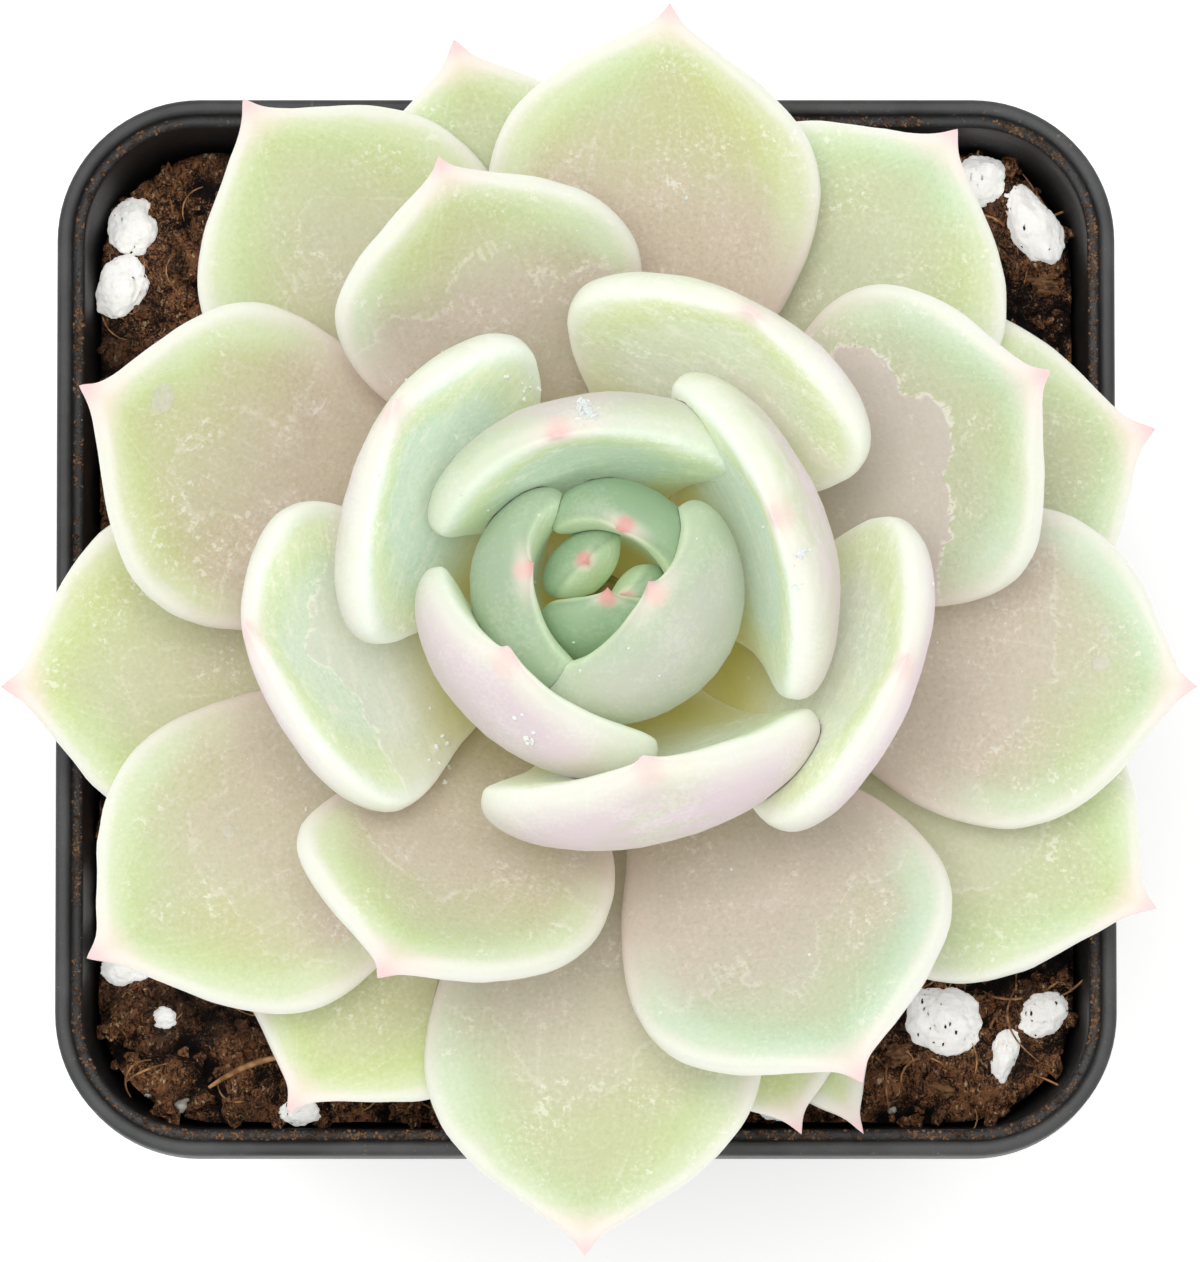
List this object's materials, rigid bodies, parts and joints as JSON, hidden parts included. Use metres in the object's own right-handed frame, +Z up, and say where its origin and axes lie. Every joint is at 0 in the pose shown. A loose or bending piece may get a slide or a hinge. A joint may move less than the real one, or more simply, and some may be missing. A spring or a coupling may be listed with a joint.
{
  "type": "potted lola echeveria",
  "caption": "Rosette succulent with thick pointed leaves, growing in a small square nursery pot of peat soil and perlite.",
  "frame": {"origin": "centre of the pot's underside, where it stands", "axes": "+Z up the plant, +Y the top of the picture, +X its right"},
  "size_m": [0.0713, 0.0745, 0.0835],
  "materials": {
    "pot_plastic": "satin",
    "peat_soil": "matte",
    "stem_skin": "matte",
    "perlite": "matte",
    "bark": "matte",
    "inner_leaf_skin": "satin",
    "upright_leaf_skin": "satin",
    "open_leaf_skin": "satin"
  },
  "bodies": {
    "root": {"pot": "pot_plastic", "soil": "peat_soil", "stem": "stem_skin", "perlite_1": "perlite", "perlite_2": "perlite", "perlite_3": "perlite", "perlite_4": "perlite", "perlite_5": "perlite", "perlite_6": "perlite", "perlite_7": "perlite", "perlite_8": "perlite", "perlite_9": "perlite", "perlite_10": "perlite", "perlite_11": "perlite", "perlite_12": "perlite", "bark_1": "bark", "bark_2": "bark", "bark_3": "bark", "bud_leaf_1": "inner_leaf_skin", "bud_leaf_2": "inner_leaf_skin", "bud_leaf_3": "inner_leaf_skin", "bud_leaf_4": "inner_leaf_skin", "inner_leaf_1": "inner_leaf_skin", "inner_leaf_2": "inner_leaf_skin", "inner_leaf_3": "inner_leaf_skin", "inner_leaf_4": "inner_leaf_skin", "upright_leaf_1": "upright_leaf_skin", "upright_leaf_2": "upright_leaf_skin", "upright_leaf_3": "upright_leaf_skin", "upright_leaf_4": "upright_leaf_skin", "upright_leaf_5": "upright_leaf_skin", "upright_leaf_6": "upright_leaf_skin", "middle_leaf_1": "open_leaf_skin", "middle_leaf_2": "open_leaf_skin", "middle_leaf_3": "open_leaf_skin", "middle_leaf_4": "open_leaf_skin", "middle_leaf_5": "open_leaf_skin", "outer_leaf_1": "open_leaf_skin", "outer_leaf_2": "open_leaf_skin", "outer_leaf_3": "open_leaf_skin", "outer_leaf_4": "open_leaf_skin", "outer_leaf_5": "open_leaf_skin", "outer_leaf_6": "open_leaf_skin", "outer_leaf_7": "open_leaf_skin", "outer_leaf_8": "open_leaf_skin", "old_leaf_1": "open_leaf_skin", "old_leaf_2": "open_leaf_skin", "old_leaf_3": "open_leaf_skin", "old_leaf_4": "open_leaf_skin", "old_leaf_5": "open_leaf_skin"}
  },
  "joints": []
}
